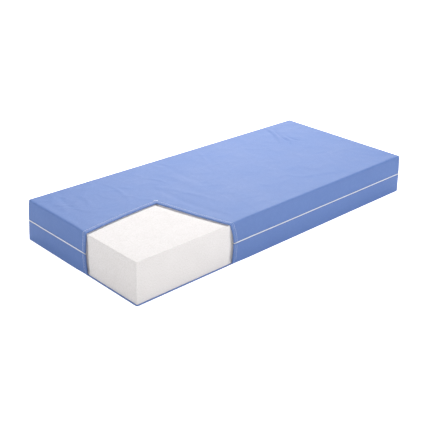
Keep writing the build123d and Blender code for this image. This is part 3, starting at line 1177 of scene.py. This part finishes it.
def sewing_thread(name, colour, dark):
    """Polyester sewing thread, with its twist, random darker blotches and painted shade in the grooves
    between its plies.
    """
    material, nodes, shader = new_material(name, Roughness=0.6, Sheen_Weight=0.15)
    place = nodes.place()
    ply = nodes.group("ply", place, Scale=9000.0)
    marks = nodes.group("mottle", place, Scale=40.0)
    tint = nodes.mix(nodes.spread(marks.outputs["Coarse"], 0.3, 0.7, 0.0, 0.6), colour, dark)
    # Painted shade: the thread is darker in the grooves between its twisted plies.
    nodes.feed(shader.inputs["Base Color"], nodes.mix(
        nodes.times(nodes.math("SUBTRACT", 1.0, ply.outputs["Height"]), 0.4), tint, dark))
    bump(nodes, shader, ply.outputs["Height"], 0.5, 0.00008)
    return material


def enamelled_metal():
    """White-enamelled zinc casting, with small flaws and a trace of wear."""
    material, nodes, shader = new_material("white_enamelled_zinc", Coat_Weight=0.4, Coat_Roughness=0.15)
    place = nodes.place()
    marks = nodes.group("mottle", place, Scale=160.0)
    wear = nodes.spread(marks.outputs["Fine"], 0.66, 0.74, 0.0, 0.5)
    enamel = nodes.mix(nodes.spread(marks.outputs["Coarse"], 0.3, 0.7),
                       (0.80, 0.82, 0.84, 1), (0.74, 0.76, 0.79, 1))
    nodes.feed(shader.inputs["Base Color"], nodes.mix(wear, enamel, (0.5, 0.5, 0.52, 1)))
    nodes.feed(shader.inputs["Roughness"], nodes.spread(marks.outputs["Coarse"], 0.3, 0.7, 0.28, 0.42))
    nodes.feed(shader.inputs["Metallic"], nodes.times(wear, 0.8))
    bump(nodes, shader, marks.outputs["Fine"], 0.15, 0.00006)
    return material


# ---- Assembly ----
def cover_pieces(cloth):
    """Both cover shells and both hems, each a sheet of the cover's fabric."""
    upper = new_piece("upper_cover_cloth", make_cover(
        1, UPPER_FOLD, HEIGHT, SIDE_CORNER, TOP_EDGE, CLOTH_CELL, 0), cloth)
    lower = new_piece("lower_cover_cloth", make_cover(
        -1, 0, LOWER_FOLD, WINDOW_CORNER, BOTTOM_EDGE, 1.6 * CLOTH_CELL, BASE_HEM - 2 * MM), cloth)
    upper_hem = new_piece("window_hem_cloth_upper",
                          hem_strip(upper_hem_columns(), upper_hem_spot), cloth)
    lower_hem = new_piece("window_hem_cloth_lower",
                          hem_strip(lower_hem_columns(), lower_hem_spot), cloth)
    for piece, thickness in ((upper, FABRIC), (lower, FABRIC), (upper_hem, HEM_FABRIC),
                             (lower_hem, HEM_FABRIC)):
        thicken(piece, thickness)
    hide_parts("upper_cover")
    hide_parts("lower_cover")
    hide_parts("window_hem_upper")
    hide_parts("window_hem_lower")
    return upper, lower, upper_hem, lower_hem


def zip_pieces(tape_cloth, coil):
    """The zip's two tapes and two rows of coil loops."""
    tapes = []
    for half, side in (("upper", 1), ("lower", -1)):
        tape = new_piece(f"zip_tape_cloth_{half}", make_tape(side), tape_cloth)
        if side > 0:
            tape.data.flip_normals()
        thicken(tape, 0.5 * MM)
        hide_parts(f"zip_tape_{half}")
        tapes.append(tape)
        loops = new_piece(f"zip_coil_loops_{half}", make_coil(side), coil)
        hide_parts(f"zip_coil_{half}")
    return tapes


def zip_stitches(cover, side):
    """The row of stitches that holds one side of the zip."""
    z = ZIP_HEIGHT + side * ZIP_STITCH
    start = 16 * MM
    spots = [along_wall(start + k * 4 * MM, z)[:2]
             for k in range(int((WALL_LENGTH - 2 * start) / (4 * MM)))]
    return row_of_stitches([(point + bow(point), normal) for point, normal in spots],
                           tree_of(cover))


def hem_stitches(columns, spot, trees, distance, low, high):
    """A row of stitches along a hem, at a distance from the window's edge."""
    spots = []
    for column in columns:
        point, normal = spot(column, distance)
        if low < point.z < high:
            spots.append((point + bow(point), normal))
    return row_of_stitches(spots, trees)


def apex_stitches(trees):
    """A short zigzag that reinforces the hem where the window's two cuts meet."""
    inner, outer = hem_apex(12 * MM), hem_apex(27 * MM)
    outward = (outer - inner).normalized()
    aside = Vector((-outward.y, outward.x))
    spots = []
    for k in range(BAR_TACKS + 1):
        share = k / BAR_TACKS
        place = inner.lerp(outer, 0.35 + 0.3 * (k % 2)) + aside * (share - 0.5) * BAR_TACK_WIDTH
        spots.append((Vector((place.x, place.y, HEIGHT)), Vector((0, 0, 1))))
    return row_of_stitches([(point + bow(point), normal) for point, normal in spots], trees)


def corner_stitches(cover, low, high):
    """Stitches up the seams of the three covered corners."""
    places = []
    for end, long_side in ((-1, 1), (1, 1), (1, -1)):
        normal = Vector((end, long_side, 0)).normalized()
        centre = Vector((end * (HALF_LENGTH - SIDE_CORNER), long_side * (HALF_WIDTH - SIDE_CORNER), 0))
        count = int((high - low) / (4 * MM))
        spots = [(centre + normal * SIDE_CORNER + Vector((0, 0, low + (high - low) * k / count)), normal)
                 for k in range(count + 1)]
        places += row_of_stitches(spots, tree_of(cover))
    return places


def thread_piece(name, node, places, material, radius=THREAD_RADIUS):
    """Stitches as one piece that stands for a thread of the design."""
    piece = new_piece(name, repeat(stitch_shape(radius), places), material)
    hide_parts(node)


def slider_pieces(metal):
    """The zip's sliders and pulls, with the soft edges of a casting."""
    for end in ("foot", "head"):
        for part, slot in (("slider", "slider"), ("pull", "pull")):
            node = f"zip_{part}_{end}"
            bm = bmesh.new()
            bm.from_mesh(bpy.data.objects[node].data)
            bmesh.ops.remove_doubles(bm, verts=bm.verts, dist=1e-6)
            bmesh.ops.dissolve_limit(bm, angle_limit=math.radians(1), verts=bm.verts, edges=bm.edges)
            sharp = [e for e in bm.edges if len(e.link_faces) == 2 and e.calc_face_angle(0) > 0.7]
            bevel(bm, sharp, 0.18 * MM, 2, clamp_overlap=True)
            piece = new_piece(f"{node}_casting", bm, metal, body=f"{end}_{part}")
            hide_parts(node)


def make_mattress():
    """Every piece of the mattress."""
    cloth = cover_cloth()
    blue_thread = sewing_thread("blue_sewing_thread", (0.16, 0.27, 0.62, 1), (0.09, 0.17, 0.46, 1))
    pale_thread = sewing_thread("pale_sewing_thread", (0.80, 0.85, 0.93, 1), (0.56, 0.64, 0.84, 1))
    make_foam(open_cell_foam())
    upper, lower, upper_hem, lower_hem = cover_pieces(cloth)
    tapes = zip_pieces(zip_tape_cloth(), coil_plastic())
    for half, cover, side in (("upper", upper, 1), ("lower", lower, -1)):
        thread_piece(f"zip_thread_{half}", f"zip_stitch_{half}", zip_stitches(cover, side),
                     blue_thread)
    hems = {
        "upper": (upper, upper_hem, upper_hem_columns(), upper_hem_spot),
        "lower": (lower, lower_hem, lower_hem_columns(), lower_hem_spot),
    }
    for half, (cover, hem, columns, spot) in hems.items():
        for row, distance in STITCH_ROWS.items():
            low = UPPER_FOLD + 2 * MM if half == "upper" else BASE_HEM + 4 * MM
            high = HEIGHT + 1 if half == "upper" else LOWER_FOLD - 2 * MM
            places = hem_stitches(columns, spot, tree_of(cover, hem), distance, low, high)
            if half == "upper" and row == "back_row":
                places += apex_stitches(tree_of(cover, hem))
            thread_piece(f"hem_thread_{half}_{row}", f"window_stitch_{half}_{row}", places,
                         pale_thread, STITCH_RADII[row])
    spans = {"upper": (upper, UPPER_FOLD + 4 * MM, HEIGHT - TOP_EDGE),
             "lower": (lower, BOTTOM_EDGE, LOWER_FOLD - 4 * MM)}
    for half, (cover, low, high) in spans.items():
        thread_piece(f"corner_thread_{half}", f"corner_seam_{half}",
                     corner_stitches(cover, low, high), blue_thread)
    slider_pieces(enamelled_metal())


make_camera()
make_studio()
make_mattress()
